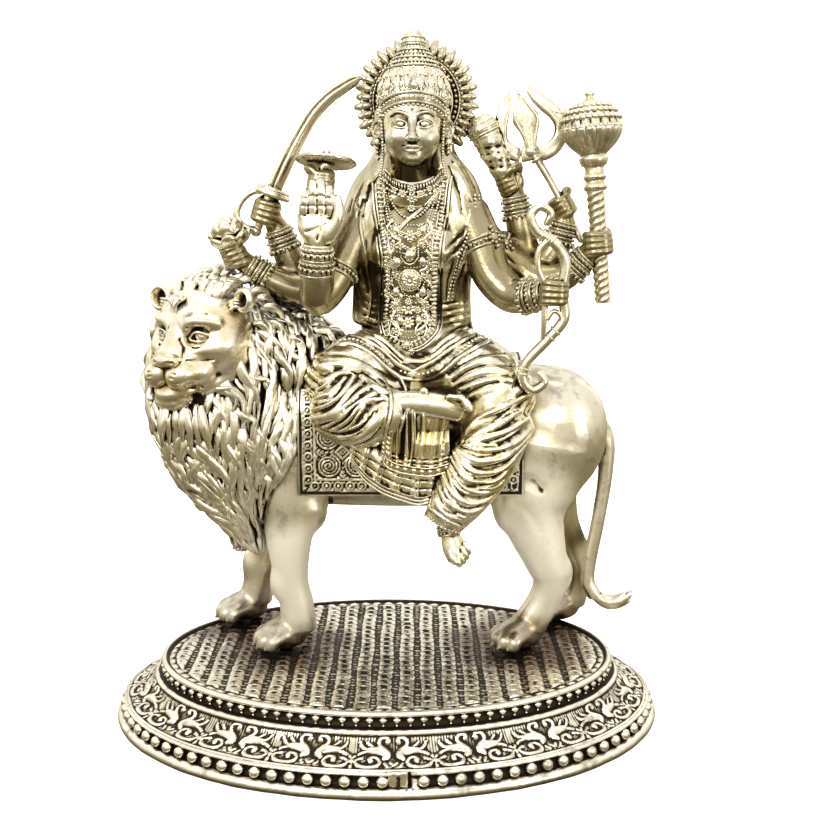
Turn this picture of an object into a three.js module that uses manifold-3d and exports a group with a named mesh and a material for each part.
// A cast brass statuette: a crowned goddess with eight arms rides side-saddle on a standing lion,
// and the lion stands on a stepped oval plinth. Millimetres, +Z up, front towards -Y.
// The origin is the middle of the plinth's underside.
import * as THREE from 'three';
import { mergeVertices } from 'three/addons/utils/BufferGeometryUtils.js';
import Module from 'manifold-3d';

const wasm = await Module();
wasm.setup();

// Driving dimensions of the plinth
const plinthTopLength = 181.2; // across the rim of the upper surface, along X
const plinthTopDepth = 115.6; // the same, along Y
const plinthFlare = 18.6; // how far the foot stands out beyond the upper rim
const plinthHeight = 24.2; // underside to the crest of the upper rim
const rimRaise = 0.2; // crest of the rim above the field that the lion stands on
const rimWidth = 2.4;
const ovalSides = 32;

// Driving dimensions of the lion and the rider
const lionHeight = 152; // sole of the paws to the top of the mane
const lionBack = 19; // how far the lion's midline lies behind the plinth's long axis
const figureHeight = 125.6; // seat to the tip of the crown
const castingGap = 0.3; // left all round where one casting rests on another
const clothThickness = 2.2; // the saddle cloth

// The carving of each figure keeps its proportions: its points are given in units that are
// millimetres at these nominal heights.
const nominalLion = 152;
const nominalFigure = 125.6;
const lionUnit = lionHeight / nominalLion;
const figureUnit = figureHeight / nominalFigure;

const field = plinthHeight - rimRaise; // the surface that the paws rest on
const sole = field + castingGap;
const lionOrigin = new THREE.Vector3(0, lionBack, sole);
const seat = new THREE.Vector3(10, 0, 115.7).multiplyScalar(lionUnit).add(lionOrigin);
const nominalSeat = new THREE.Vector3(10, 0, 115.7);

// A point of the lion, from its middle below the body at sole height.
const onLion = (x, y, z) => new THREE.Vector3(x, y, z).multiplyScalar(lionUnit).add(lionOrigin);
// A point of the rider, in the lion's axes at nominal size, carried by the seat.
const onRider = (x, y, z) =>
  new THREE.Vector3(x, y, z).sub(nominalSeat).multiplyScalar(figureUnit).add(seat);

const lionKit = { at: onLion, unit: lionUnit };
const riderKit = { at: onRider, unit: figureUnit };

// Solids

// A closed surface through rings that all have the same number of points, with a pole at each end.
function skin(rings, first, last) {
  const sides = rings[0].length;
  const points = [first, ...rings.flat(), last];
  const end = points.length - 1;
  const at = (ring, side) => 1 + ring * sides + (side % sides);
  const faces = [];
  for (let j = 0; j < sides; j++) {
    faces.push(0, at(0, j + 1), at(0, j));
    for (let i = 0; i + 1 < rings.length; i++) {
      faces.push(at(i, j), at(i, j + 1), at(i + 1, j + 1));
      faces.push(at(i, j), at(i + 1, j + 1), at(i + 1, j));
    }
    faces.push(end, at(rings.length - 1, j), at(rings.length - 1, j + 1));
  }
  const geometry = new THREE.BufferGeometry().setFromPoints(points);
  geometry.setIndex(faces);
  return geometry;
}

// A limb: an oval section swept along a smooth line through stations [x, y, z, half width, half depth].
// side is the direction of the half width, steps the rings between stations, flute the depth of folds
// as a share of the radius, and braid shifts the folds from ring to ring, as in locks of hair.
// round is how far each end domes out, as a share of its size, and grow thickens the limb all round.
function limb(kit, stations, options = {}) {
  const { sides = 6, steps = 1, side = null, flute = 0, braid = 0, grow = 0, round = 0.75 } = options;
  const [domeFrom, domeTo] = Array.isArray(round) ? round : [round, round];
  const line = new THREE.CatmullRomCurve3(stations.map(([x, y, z]) => kit.at(x, y, z)));
  const sizes = new THREE.CatmullRomCurve3(
    stations.map(([, , , wide, deep = wide]) => new THREE.Vector3(wide, deep, 0)),
  );
  const count = (stations.length - 1) * steps;
  let across = side ? new THREE.Vector3(...side) : null;
  const rings = [];
  let first = null;
  let last = null;
  for (let i = 0; i <= count; i++) {
    const t = i / count;
    const centre = line.getPoint(t);
    const along = line.getTangent(t);
    if (!across) {
      across = new THREE.Vector3(0, 0, 1);
      if (Math.abs(along.z) > 0.8) across.set(1, 0, 0);
    }
    const u = across.clone().addScaledVector(along, -across.dot(along)).normalize();
    if (!side) across = u;
    const v = along.clone().cross(u);
    const size = sizes.getPoint(t);
    const wide = Math.max(size.x, 0.4) * kit.unit + grow;
    const deep = Math.max(size.y, 0.4) * kit.unit + grow;
    const ring = (shift, scale) => Array.from({ length: sides }, (_, j) => {
      const angle = (2 * Math.PI * j) / sides;
      const fold = (j + braid * i) % 2 ? 1 - flute : 1;
      return centre.clone()
        .addScaledVector(along, shift)
        .addScaledVector(u, scale * wide * fold * Math.cos(angle))
        .addScaledVector(v, scale * deep * fold * Math.sin(angle));
    });
    const nose = Math.min(wide, deep);
    if (i === 0) {
      first = centre.clone().addScaledVector(along, -domeFrom * nose);
      if (domeFrom > 0) rings.push(ring(-0.6 * domeFrom * nose, 0.78));
    }
    rings.push(ring(0, 1));
    if (i === count) {
      last = centre.clone().addScaledVector(along, domeTo * nose);
      if (domeTo > 0) rings.push(ring(0.6 * domeTo * nose, 0.78));
    }
  }
  return skin(rings, first, last);
}

// An egg: an ellipsoid of half sizes [x, y, z] at a place, turned about Z by yaw.
function egg(kit, [x, y, z], [a, b, c], options = {}) {
  const { sides = 8, yaw = 0, grow = 0 } = options;
  const geometry = new THREE.SphereGeometry(1, sides, Math.ceil(sides * 0.5));
  geometry.rotateX(Math.PI / 2);
  geometry.scale(a * kit.unit + grow, b * kit.unit + grow, c * kit.unit + grow);
  geometry.rotateZ(yaw);
  const centre = kit.at(x, y, z);
  return geometry.translate(centre.x, centre.y, centre.z);
}

// A turned piece: a lathe profile of [radius, height] stood on foot and pointed at tip.
function turned(kit, foot, tip, profile, sides = 10) {
  const geometry = new THREE.LatheGeometry(
    profile.map(([r, h]) => new THREE.Vector2(r * kit.unit, h * kit.unit)), sides);
  geometry.rotateX(Math.PI / 2);
  const from = kit.at(...foot);
  const along = kit.at(...tip).sub(from).normalize();
  geometry.applyQuaternion(
    new THREE.Quaternion().setFromUnitVectors(new THREE.Vector3(0, 0, 1), along));
  return geometry.translate(from.x, from.y, from.z);
}

// A flat piece: an outline in its own plane, extruded to a thickness about that plane.
function plate(kit, centre, outline, thickness, right, up) {
  const shape = new THREE.Shape(outline.map(([x, y]) => new THREE.Vector2(x, y)));
  const geometry = new THREE.ExtrudeGeometry(shape, { depth: thickness, bevelEnabled: false });
  geometry.translate(0, 0, -thickness / 2);
  geometry.scale(kit.unit, kit.unit, kit.unit);
  const x = new THREE.Vector3(...right).normalize();
  const y = new THREE.Vector3(...up).addScaledVector(x, -x.dot(new THREE.Vector3(...up))).normalize();
  geometry.applyMatrix4(new THREE.Matrix4().makeBasis(x, y, x.clone().cross(y)));
  const at = kit.at(...centre);
  return geometry.translate(at.x, at.y, at.z);
}

function toSolid(geometry) {
  const bare = new THREE.BufferGeometry();
  bare.setAttribute('position', geometry.getAttribute('position'));
  if (geometry.index) bare.setIndex(geometry.index);
  const merged = mergeVertices(bare, 1e-4);
  return new wasm.Manifold(new wasm.Mesh({
    numProp: 3,
    vertProperties: new Float32Array(merged.attributes.position.array),
    triVerts: new Uint32Array(merged.index.array),
  }));
}

const join = (geometries) =>
  geometries.map(toSolid).reduce((whole, next) => whole.add(next));

function toMesh(name, solid, material) {
  const { vertProperties, triVerts } = solid.getMesh();
  const geometry = new THREE.BufferGeometry();
  geometry.setAttribute('position', new THREE.BufferAttribute(vertProperties, 3));
  geometry.setIndex(new THREE.BufferAttribute(triVerts, 1));
  geometry.computeVertexNormals();
  const mesh = new THREE.Mesh(geometry, material);
  mesh.name = name;
  return mesh;
}

const circle = (count, place) => Array.from({ length: count }, (_, i) => place((2 * Math.PI * i) / count, i));
const range = (count) => Array.from({ length: count }, (_, i) => i);

// Plinth: an oval stack of mouldings, each given as [outset from the upper rim, height].
function plinth() {
  const h = plinthHeight;
  const f = plinthFlare;
  const profile = [
    [f * 0.98, 0],
    [f, 0.08 * h],
    [f * 0.93, 0.145 * h],
    [f * 0.78, 0.165 * h],
    [f * 0.77, 0.335 * h],
    [f * 0.84, 0.37 * h],
    [f * 0.52, 0.46 * h],
    [f * 0.3, 0.56 * h],
    [f * 0.16, 0.66 * h],
    [f * 0.1, 0.755 * h],
    [-0.03 * f, 0.77 * h],
    [-0.04 * f, 0.915 * h],
    [0, 0.94 * h],
    [-rimWidth * 0.5, h],
    [-rimWidth, field],
  ];
  const rings = profile.map(([out, z]) =>
    circle(ovalSides, (angle) => new THREE.Vector3(
      (plinthTopLength / 2 + out) * Math.cos(angle),
      (plinthTopDepth / 2 + out) * Math.sin(angle), z)));
  return skin(rings, new THREE.Vector3(0, 0, 0), new THREE.Vector3(0, 0, field));
}

// Lion. Points are [x, y, z] from its middle, at sole height, at nominal size.

const headTurn = THREE.MathUtils.degToRad(30); // from facing the front, towards -X
const headCentre = [-68.5, -15, 129.5];
const faceRight = [Math.cos(headTurn), -Math.sin(headTurn), 0];
// A point of the lion's head: sideways (towards +X), forward as the head looks, and up.
const onHead = (across, forward, up) => [
  headCentre[0] + across * Math.cos(headTurn) - forward * Math.sin(headTurn),
  headCentre[1] - across * Math.sin(headTurn) - forward * Math.cos(headTurn),
  headCentre[2] + up,
];

const lionTrunk = (grow) => [
  limb(lionKit, [[-52, 0, 92, 17, 27], [-34, 0, 90, 21, 33], [-8, 0, 86.5, 20.5, 31], [22, 0, 85.5, 20, 30],
    [46, 0, 86, 20, 29], [64, 0, 86.5, 18.5, 27.5], [78, 0, 85, 14.5, 21]],
  { sides: 12, side: [0, 1, 0], round: 0.4, grow }),
];

// A paw: a pad with a row of four toes in front, turned from -X towards the viewer.
function paw([x, y], turn, grow) {
  const yaw = THREE.MathUtils.degToRad(turn);
  const ahead = [-Math.cos(yaw), -Math.sin(yaw)];
  const beside = [Math.sin(yaw), -Math.cos(yaw)];
  const toes = range(7).map((k) => {
    const spread = (k - 3) * 2.1;
    const reach = 8.2 - Math.abs(k - 3) * 0.7;
    const bulge = k % 2 ? 0.8 : 1;
    const place = [0, 1].map((i) => [x, y][i] + reach * ahead[i] + spread * beside[i]);
    return [...place, 4, 3.9 * bulge, 4.6 * bulge];
  });
  return [
    egg(lionKit, [x, y, 5.9], [10.5, 8.2, 5.9], { yaw, grow }),
    limb(lionKit, toes, { sides: 5, side: [0, 0, 1], round: 0, grow }),
  ];
}

function lionLegs(grow) {
  const leg = (stations) => limb(lionKit, stations, { sides: 8, side: [1, 0, 0], round: 0, grow });
  return [
    leg([[-37, -8, 84, 15, 13], [-38.5, -11.5, 67, 13, 11.5], [-39, -13.5, 55, 11.2, 10], [-39.4, -15, 42, 8.7, 8.2],
      [-38.6, -15.5, 28, 6.7, 6.5], [-36.8, -15.5, 18, 6.9, 6.6], [-36.4, -15.5, 8, 7.5, 7]]),
    ...paw([-43, -17], 30, grow),
    leg([[-42, 11, 80, 14, 12], [-47, 14.5, 53, 10.5, 10], [-51, 16, 35, 8, 7.6], [-55, 16, 22, 6.9, 6.6],
      [-58, 16, 9, 7, 6.8]]),
    ...paw([-63.5, 14], 30, grow),
    leg([[62, -7, 82, 20, 14], [59.5, -10, 67, 18.5, 12.5], [59.4, -12.5, 53.5, 13, 10.5], [64.3, -14, 37, 8.9, 8],
      [66.8, -14, 28, 7.3, 7], [64.1, -14, 19, 6.5, 6.3], [58.5, -14.5, 9, 7, 6.6]]),
    ...paw([53.5, -17], 34, grow),
    leg([[66, 8, 80, 18, 13], [67, 12, 60, 14, 11], [73, 15, 43, 9.3, 8.4], [81, 16, 27, 6.9, 6.6],
      [81.5, 16, 16, 6.1, 6], [79.5, 16, 8, 6.6, 6.3]]),
    ...paw([72.5, 14.5], 24, grow),
  ];
}

const lionTail = (grow) => [
  limb(lionKit, [[80, 2, 94, 5], [89, 0, 84, 3.6], [90, -1, 70, 2.5], [87.5, -2, 50, 2.3], [83.6, -3, 26, 2.4],
    [86.5, -4, 17.5, 2.9], [95, -5, 15.2, 2.9], [101, -6, 18, 1.4]], { sides: 5, round: 0, grow }),
];

function lionHead(grow) {
  const turn = { yaw: -headTurn, grow };
  const bridge = [[...onHead(0, 13, 10), 7.5, 4], [...onHead(0, 20, 0), 5, 4.6], [...onHead(0, 24, -7.5), 5, 3.6]];
  const rim = circle(6, (angle) => [5.8 * Math.cos(angle), 6.2 * Math.sin(angle)]);
  const pair = (s) => [
    egg(lionKit, onHead(s * 5.6, 20, -14), [6.8, 6.5, 5], turn), // upper lip
    egg(lionKit, onHead(s * 8.8, 13, 8), [6.2, 4, 3], { sides: 6, ...turn }), // brow
    egg(lionKit, onHead(s * 13, 7, -5), [6.5, 8.5, 9], { sides: 6, ...turn }), // cheek
    plate(lionKit, onHead(s * 17.3, 3.5, 12), rim, 6, faceRight, [0, 0, 1]), // ear
  ];
  return [
    egg(lionKit, onHead(0, 0, 1), [19, 17, 17], { sides: 10, ...turn }), // skull
    egg(lionKit, onHead(0, 13, -10.5), [12, 12, 8.5], turn), // muzzle
    egg(lionKit, onHead(0, 14.5, -19.5), [10, 9.5, 4.8], turn), // lower jaw
    limb(lionKit, bridge, { side: faceRight, grow }),
    ...pair(-1), ...pair(1),
  ];
}

// Mane: a ruff that narrows to a point between the forelegs, and the crest that runs back to the cloth.
// Both are ridged like stacked locks, and loose locks hang from the ruff.
const ruff = [[-69, -4, 146, 12, 10], [-69, -6, 140, 19.5, 16], [-68, -7, 128, 24, 20], [-67, -8, 111, 29, 22],
  [-65.5, -9, 92, 28.5, 22], [-63.5, -9, 76, 23.5, 20], [-61, -9, 61, 15, 14], [-56, -8, 48, 8, 9]];
const crest = [[-60, 0, 131, 20, 16], [-46, 0, 121, 20.5, 18], [-34, 0, 113, 20.5, 19.5], [-23, 0, 105, 19, 17]];

function lock([cx, cy, cz, wide, deep], angle, length, grow) {
  const reach = (share, lift) => [
    cx + (wide * (1 - 0.3 * share) + lift) * Math.cos(angle),
    cy + (deep * (1 - 0.3 * share) + lift) * Math.sin(angle),
    cz - length * share,
  ];
  return limb(lionKit, [[...reach(0, -1.5), 2.4], [...reach(0.45, 1.4), 3.4, 2.8], [...reach(1, 1.2), 0.9]],
    { sides: 4, round: 0, grow });
}

function lionMane(grow) {
  const lockRows = [
    // ring of the ruff, first and last angle in degrees, number of locks, length
    [4, 175, 345, 4, 21], [5, 155, 350, 5, 20], [6, 150, 350, 3, 17],
  ];
  const rows = lockRows.flatMap(([ring, from, to, count, length]) => range(count).map((k) => {
    const angle = THREE.MathUtils.degToRad(from + ((to - from) * (k + 0.5 * (ring % 2))) / (count - 0.5));
    return lock(ruff[ring], angle, length, grow);
  }));
  return [
    limb(lionKit, ruff, { sides: 16, round: 0.5, side: [1, 0, 0], flute: 0.09, braid: 1, grow }),
    limb(lionKit, crest, { sides: 12, side: [0, 1, 0], flute: 0.07, braid: 1, round: 0, grow }),
    limb(lionKit, [[-56, -8, 49, 6], [-54, -8, 42, 4], [-52.5, -8, 36, 1.2]], { grow }),
    ...rows,
  ];
}

// Saddle cloth: a sheet bent over the back that hangs straight on both flanks.
const clothFront = -34.3;
const clothBack = 54;
const clothHem = 66;
const clothTop = 119.5;
const clothHalf = 25.5;
const clothSpring = 96; // where the straight sides end

// Where it cuts room for the rider, the space below the sheet goes with it.
function saddleCloth(grow) {
  const more = grow / lionUnit;
  const thick = clothThickness / lionUnit;
  const arch = (half, top) => range(9).map((i) => {
    const angle = Math.PI * (i / 8);
    return [-half * Math.cos(angle), clothSpring + (top - clothSpring) * Math.sin(angle)];
  });
  const outer = clothHalf + more;
  const inner = clothHalf - thick;
  const outline = [[-outer, clothHem - more], ...arch(outer, clothTop + more), [outer, clothHem - more]];
  if (grow === 0) {
    outline.push([inner, clothHem], ...arch(inner, clothTop - thick).reverse(), [-inner, clothHem]);
  }
  return [plate(lionKit, [(clothBack + clothFront) / 2, 0, 0], outline, clothBack - clothFront + 2 * more,
    [0, 1, 0], [0, 0, 1])];
}

const lionSolid = (grow) => join([
  ...lionTrunk(grow), ...lionLegs(grow), ...lionTail(grow), ...lionHead(grow), ...lionMane(grow),
  ...saddleCloth(grow),
]);

// Goddess. Points are [x, y, z] in the lion's axes at nominal size.

const sideways = [1, 0, 0];

function torso() {
  return [
    limb(riderKit, [[11.5, -2, 115, 23, 16], [12, -3, 127, 22, 14.5], [12.3, -4, 141, 18.5, 12.5],
      [12, -6, 155, 19.5, 13.5], [11.5, -6, 167, 21, 13], [11.5, -5, 177, 21.5, 9.5], [11, -7, 184.5, 13, 8.5],
      [10, -9, 190, 7, 7], [10, -11, 198, 6.4, 6.4]], { sides: 10, side: sideways, round: 0 }),
    // veil that falls from the crown over the back
    limb(riderKit, [[10.5, -1, 207, 12.5, 6], [11, 1, 196, 16, 7], [11.5, 2, 184, 21.5, 8], [11.8, 3, 165, 23, 9],
      [12, 4, 142, 22, 9], [12, 4, 121, 22.5, 9]], { sides: 12, side: sideways, flute: 0.05, round: 0 }),
  ];
}

// The long garland that hangs to the lap, and the collar.
function garlands() {
  const half = 12.4;
  const middle = 9.6;
  const loop = [[0.75, -10, 181], [1, -19.5, 168], [1, -18.5, 148], [0.95, -19, 134], [0.5, -22.5, 125], [0, -24, 121]];
  const drop = (s) => limb(riderKit, loop.map(([share, y, z]) => [middle + s * half * share, y, z, 2, 1.8]),
    { sides: 4, round: 0 });
  return [
    drop(-1), drop(1),
    egg(riderKit, [middle, -25, 120.5], [3.4, 3, 4], { sides: 6 }),
    limb(riderKit, [[0, -12, 184, 2.2], [middle, -18.5, 177, 2.8], [19, -12, 184, 2.2]], { sides: 4, round: 0 }),
  ];
}

const head = () => [
  egg(riderKit, [9.9, -12, 204.5], [9.8, 10.8, 12]),
  egg(riderKit, [9.9, -17, 197], [5.6, 5.6, 4], { sides: 6 }),
  limb(riderKit, [[9.9, -21.8, 208, 1.3], [9.9, -24.2, 202.6, 2]], { sides: 4 }), // nose
  egg(riderKit, [-3.2, -6, 205.5], [4.2, 5.4, 4.2], { sides: 6 }), // ear discs
  egg(riderKit, [24, -6, 205], [4.2, 5.4, 4.2], { sides: 6 }),
];

const crown = () => [
  turned(riderKit, [10.3, -10, 208.5], [10.5, -7, 242], [[0, 0], [10.6, 0], [11.8, 4], [12.5, 12], [11.4, 17],
    [9.4, 21], [4.4, 26.6], [4, 30], [0, 33.2]], 10),
];

// Halo: a disc edged with petals behind the head.
const haloPetals = 20;
function halo() {
  const outline = circle(haloPetals * 2, (angle, i) => {
    const r = i % 2 ? 23.4 : 21.6;
    return [r * Math.cos(angle), r * Math.sin(angle)];
  });
  return [plate(riderKit, [12, 1, 217.3], outline, 4.4, [1, 0, 0], [0, 0, 1])];
}

// A closed hand round a rod, drawn as one block with the ridges of four bent fingers. along is the rod's
// direction, back the way that the back of the hand faces.
function fist(centre, along, back) {
  const a = new THREE.Vector3(...along).normalize();
  const b = new THREE.Vector3(...back).addScaledVector(a, -a.dot(new THREE.Vector3(...back))).normalize();
  const knuckles = range(7).map((i) => {
    const p = new THREE.Vector3(...centre).addScaledVector(a, (i - 3) * 1.8);
    return [p.x, p.y, p.z, i % 2 ? 4.2 : 5, i % 2 ? 4.4 : 5.4];
  });
  return limb(riderKit, knuckles, { sides: 5, side: b.toArray(), round: 0 });
}

const arm = (stations) => limb(riderKit, stations, { round: 0 });
const rod = (stations, options = {}) => limb(riderKit, stations, { sides: 4, round: 0, ...options });

// Right arms: the open hand, the discus, the sabre and the lotus. Bracelets thicken each forearm.
function rightArms() {
  const fingers = range(4).map((i) => {
    const x = -29.5 + i * 3.4;
    return rod([[x, -30, 172, 1.9], [x + 0.2, -30.8, [182.5, 185.5, 186, 183][i], 1.4]]);
  });
  return [
    arm([[-8, -8, 175, 7.5], [-14, -13, 162, 7.2], [-20, -19, 149, 7], [-25.6, -24, 143, 6.6],
      [-25.5, -27, 151, 6.3], [-25, -28.2, 156, 6.9], [-24.6, -29.5, 166, 6.2]]),
    limb(riderKit, [[-24.6, -29.5, 164, 5.6, 4], [-24.4, -30, 170, 7, 3.6], [-24.3, -30, 175, 7, 2.8]],
      { side: sideways, sides: 6, round: 0.2 }),
    ...fingers,
    rod([[-19.5, -30, 168, 2.8], [-17.6, -31.5, 175, 2.2], [-18.6, -32, 180.5, 1.4]]),
    // the upper arms of the other three, side by side
    limb(riderKit, [[-9, -4, 171, 8, 7.5], [-21, -4, 150.5, 8.5, 7.5], [-33, -5, 144.5, 8, 6]],
      { side: [0, 1, 0], round: 0 }),
    // discus
    arm([[-17, -8, 152, 6.4], [-23.5, -15, 158, 6], [-24.5, -20, 170, 5], [-25, -21.5, 178, 4.4]]),
    egg(riderKit, [-25.8, -22.5, 182.5], [6.2, 4.6, 8.5], { sides: 6 }),
    rod([[-24.4, -22.5, 186, 2], [-22.4, -22.3, 194.5, 1.8]]),
    turned(riderKit, [-21.9, -22.2, 192.8], [-21.5, -21.3, 197.2], [[0, 0], [10.6, 0], [11.3, 1], [10.4, 2.2],
      [2.6, 2.8], [0, 5.4]], 10),
    // sabre
    arm([[-30, -2, 145, 6], [-37.5, -3.6, 156, 6.3], [-42.2, -4.8, 168.5, 5.4]]),
    fist([-46.4, -5, 175.4], [0.3, 0, 1], [0.9, 0.3, -0.3]),
    rod([[-49.5, -6, 167, 1.8], [-43.5, -6, 184, 2]]),
    turned(riderKit, [-44.1, -6, 182.2], [-41.3, -6, 189.5], [[0, 0], [5.8, 0], [6.2, 1.2], [0, 1.8]], 8),
    limb(riderKit, [[-43.4, -6, 182, 3, 1.2], [-38.8, -6, 193, 3.4, 1.1], [-34, -6, 202, 3.3, 1],
      [-27.5, -5.5, 211.8, 3, 1], [-19.5, -5, 222.6, 2.6, 0.9], [-13.4, -4.5, 228.9, 2.1, 0.9],
      [-9.4, -4, 231.8, 0.6, 0.6]], { side: [0.8, 0, -0.6], sides: 4, round: 0 }),
    rod([[-47.5, -6, 183, 1.2], [-54.6, -6.5, 180.6, 1.2], [-57.9, -7, 174.5, 1.2], [-54, -7, 168.6, 1.2],
      [-48.5, -6, 168.6, 1.8]]),
    // lotus
    arm([[-31, -7.5, 143.5, 6], [-42, -9.5, 147.5, 6.5], [-53, -10.7, 154.5, 5.2]]),
    fist([-58.2, -11.4, 158.8], [-0.4, -0.1, 1], [0.5, 0.85, 0]),
    turned(riderKit, [-58.6, -12.5, 162.5], [-61.5, -13.5, 172], [[0, 0], [1.8, 0], [6.6, 5.5], [7.4, 8],
      [3, 8.8], [0, 12]], 8),
    rod([[-60, -13, 165, 1.4], [-67.8, -13, 166.2, 1.4]]),
  ];
}

// Left arms: the bow, the mace, the trident and the conch.
function leftArms() {
  const prong = (points) => rod(points.map(([x, z, r]) => [x, 4, z, r, 1.4]), { side: sideways });
  return [
    arm([[32, -9, 175, 8.2], [37, -12, 163, 8.8], [41, -16, 152, 8], [47.5, -21, 144.8, 7.8],
      [53, -26, 144.2, 7], [59.5, -30.7, 145.6, 5.6]]),
    fist([63.3, -33, 146.4], [0.05, 0, 1], [-0.6, 0.8, 0]),
    rod([[59.5, -35, 171.5, 1.2], [60.8, -35, 175.3, 1.4], [57, -35, 177.6, 1.5], [53.6, -35, 174.2, 1.6],
      [56, -35, 168, 1.8], [62.4, -35, 166, 1.9], [67.2, -35, 157.6, 1.9], [65.6, -35, 147, 1.9],
      [67.4, -35, 137, 1.9], [60.6, -35, 128.8, 1.8], [52.9, -35, 120.1, 1.7], [53, -35, 113, 1.6],
      [58.6, -35, 112.4, 1.4]]),
    rod([[58.5, -36, 168, 0.9], [59.8, -36, 127.5, 0.9]]),
    // the upper arms of the other three, side by side
    limb(riderKit, [[31, -3, 172, 8, 7.5], [46, -1, 157.5, 8.5, 7.5], [60, -1, 150.5, 7.5, 6]],
      { side: [0, 1, 0], round: 0 }),
    // mace
    arm([[57, -4.5, 148.5, 6.4], [69, -8, 150, 6.4], [78, -10.6, 158.5, 5.2]]),
    fist([82.2, -11, 163.3], [-0.09, 0.05, 1], [-0.4, 0.9, 0]),
    turned(riderKit, [84.8, -12.5, 140.4], [77.6, -8, 220.9], [[0, 0], [2.6, 0], [3.4, 30], [4, 49],
      [4.8, 51], [4.2, 54], [5, 58], [11.3, 65.5], [10.4, 70], [4.6, 75.8], [1.6, 77.6], [0, 81]], 8),
    // trident
    arm([[59, 0, 151, 6], [67, 0, 160, 6.2], [70.5, 0, 171, 5]]),
    fist([70.6, 1, 177.6], [-0.5, 0, 0.86], [0.5, 0.85, 0]),
    rod([[76.2, -0.4, 166, 1.5], [65.6, 2.5, 186, 1.6], [57.4, 4, 199, 1.7]]),
    prong([[58.5, 198.4, 2], [49.5, 198.4, 1.9], [44.9, 202.8, 1.8], [46, 211.5, 1.6], [48.2, 220.4, 0.8]]),
    prong([[56.5, 198.4, 2], [64.5, 199.6, 1.9], [68.9, 204.6, 1.7], [66.4, 213, 1.7], [60, 218.2, 1.7],
      [54.6, 223.4, 0.9]]),
    prong([[57.4, 198, 1.9], [56.2, 204, 2.4], [54.8, 211.6, 4.7], [51.3, 221.4, 0.7]]),
    // conch
    arm([[56.5, 2.5, 152, 6], [54, 2.8, 166, 6.4], [50.8, 3, 181, 5]]),
    fist([49.4, 3, 187], [-0.4, 0, 0.9], [0.7, 0.7, 0.2]),
    turned(riderKit, [50.6, 1.5, 184], [38.6, 1.5, 210.8], [[0, 0], [2, 0], [5.6, 17], [6.4, 24],
      [5.8, 26.4], [0, 29.6]], 8),
  ];
}

// Draped legs: the right one folded across, the left one hanging, with fluted cloth and a pleated fan.
function legs() {
  const cloth = (stations, round) => limb(riderKit, stations, { sides: 10, flute: 0.1, round });
  const foot = (stations, side) => limb(riderKit, stations, { side, sides: 6, round: 0 });
  return [
    cloth([[6, -4, 117, 15], [-6, -12, 114.5, 15.5], [-16, -19, 110, 15.5], [-20, -25, 106, 12.5]], 0),
    cloth([[-19, -26, 102, 13], [-9, -31, 100, 13.5], [0, -34, 101, 11.5], [6, -36, 103, 7.5]], [0.6, 0]),
    foot([[4, -37, 104, 5.4, 4], [16, -38.5, 105, 5, 3.6], [26, -38.5, 103.8, 4.2, 2.6], [32, -38.5, 102.6, 2.6, 1.4]],
      [0, 0, 1]),
    cloth([[20, -4, 117, 15], [32, -13, 114, 15], [42, -22, 107.5, 14.5], [46, -28, 101.5, 12.5]], [0, 0.4]),
    cloth([[45.5, -29, 99, 12.3], [37.5, -34, 84, 13.2], [29.5, -37, 71, 11.4], [22.5, -39, 61, 8.6]], 0),
    foot([[22, -39.5, 62, 4.4], [25, -40, 54.6, 3.8], [27, -42, 49.6, 4.6, 3.4], [29.2, -45.2, 44, 4, 1.4]],
      sideways),
    limb(riderKit, [[12, -33, 108, 7, 3.5], [9, -33, 88, 13, 3], [5, -32, 69.5, 17, 2.4]],
      { sides: 12, side: sideways, flute: 0.16, round: 0 }),
  ];
}

const goddessSolid = () => join([
  ...torso(), ...garlands(), ...head(), ...crown(), ...halo(), ...legs(), ...rightArms(), ...leftArms(),
]);

// Assembly
const brass = new THREE.MeshStandardMaterial({ color: 0xb9a56c, roughness: 0.32, metalness: 1 });
const statue = new THREE.Group();
statue.add(toMesh('plinth', toSolid(plinth()), brass));
statue.add(toMesh('lion', lionSolid(0), brass.clone()));
statue.add(toMesh('goddess', goddessSolid().subtract(lionSolid(castingGap)), brass.clone()));

export default statue;
